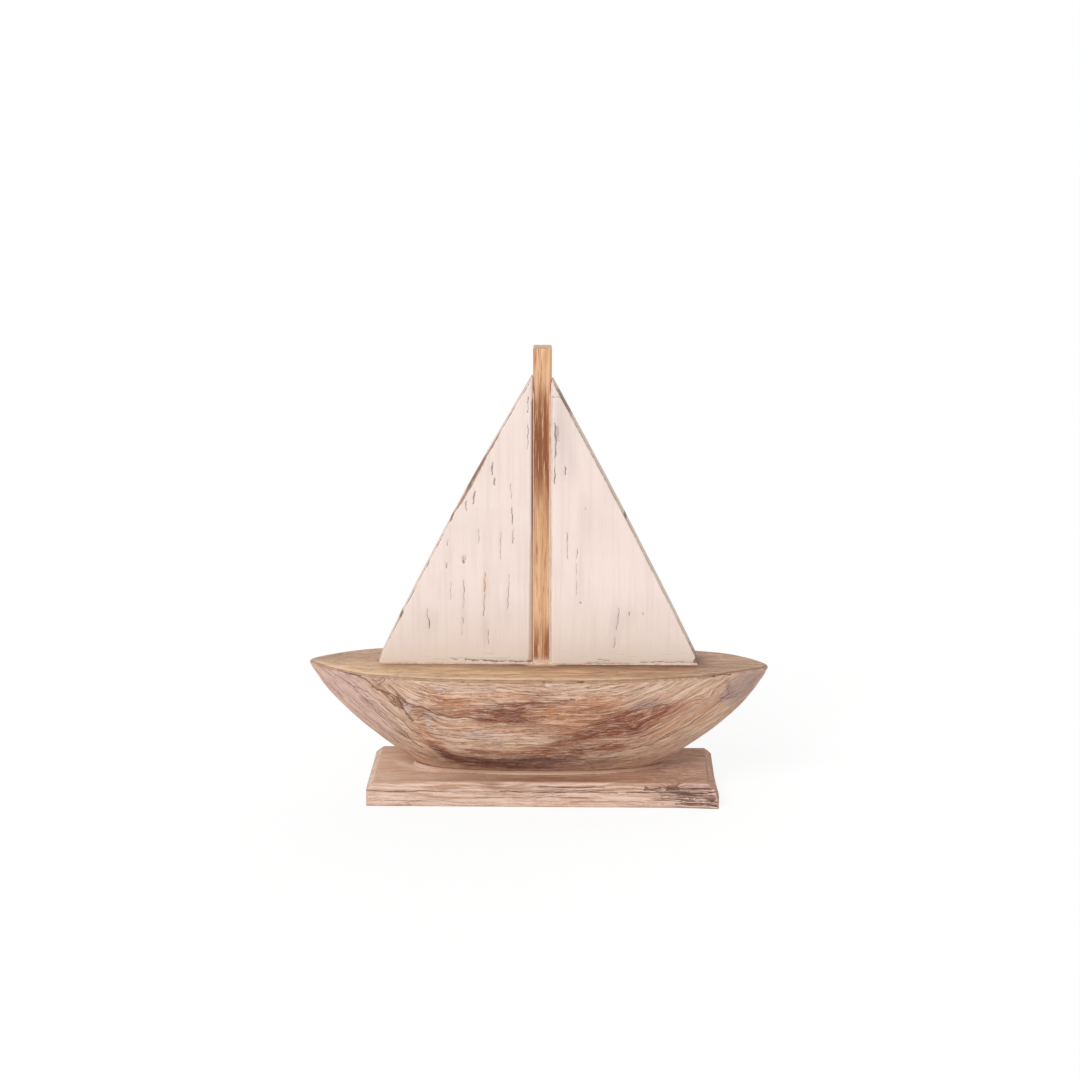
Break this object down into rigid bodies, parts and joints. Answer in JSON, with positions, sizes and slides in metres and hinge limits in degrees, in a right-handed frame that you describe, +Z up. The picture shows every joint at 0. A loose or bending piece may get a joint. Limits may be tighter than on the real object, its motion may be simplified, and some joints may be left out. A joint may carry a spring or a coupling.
{
  "type": "wooden sailboat ornament",
  "caption": "Carved wooden sailing boat with a square mast and flat triangular wooden sails, fixed on a chamfered plinth board; a still shelf ornament.",
  "frame": {"origin": "on the table, below the middle of the hull's length, in the boat's middle plane", "axes": "+X towards the bow under the smaller sail, +Y across the boat away from the picture's side, +Z up"},
  "size_m": [0.2998, 0.082, 0.297],
  "materials": {
    "base_board": "sawn and whitewashed",
    "hull": "brushed and whitewashed over a red-brown stain",
    "mast": "bare, rubbed",
    "mainsail": "thin white paint over brushed wood",
    "jib": "thin white paint over brushed wood",
    "filler_bead": "matt filler",
    "dowels": "plain",
    "screws": "zinc"
  },
  "bodies": {
    "root": {"base_board": "base_board", "hull": "hull", "mast": "mast", "mainsail": "mainsail", "jib": "jib", "filler_bead": "filler_bead", "mainsail_dowel_1": "dowels", "mainsail_dowel_2": "dowels", "jib_dowel_1": "dowels", "jib_dowel_2": "dowels", "hull_screw_aft": "screws", "hull_screw_fore": "screws"}
  },
  "joints": []
}
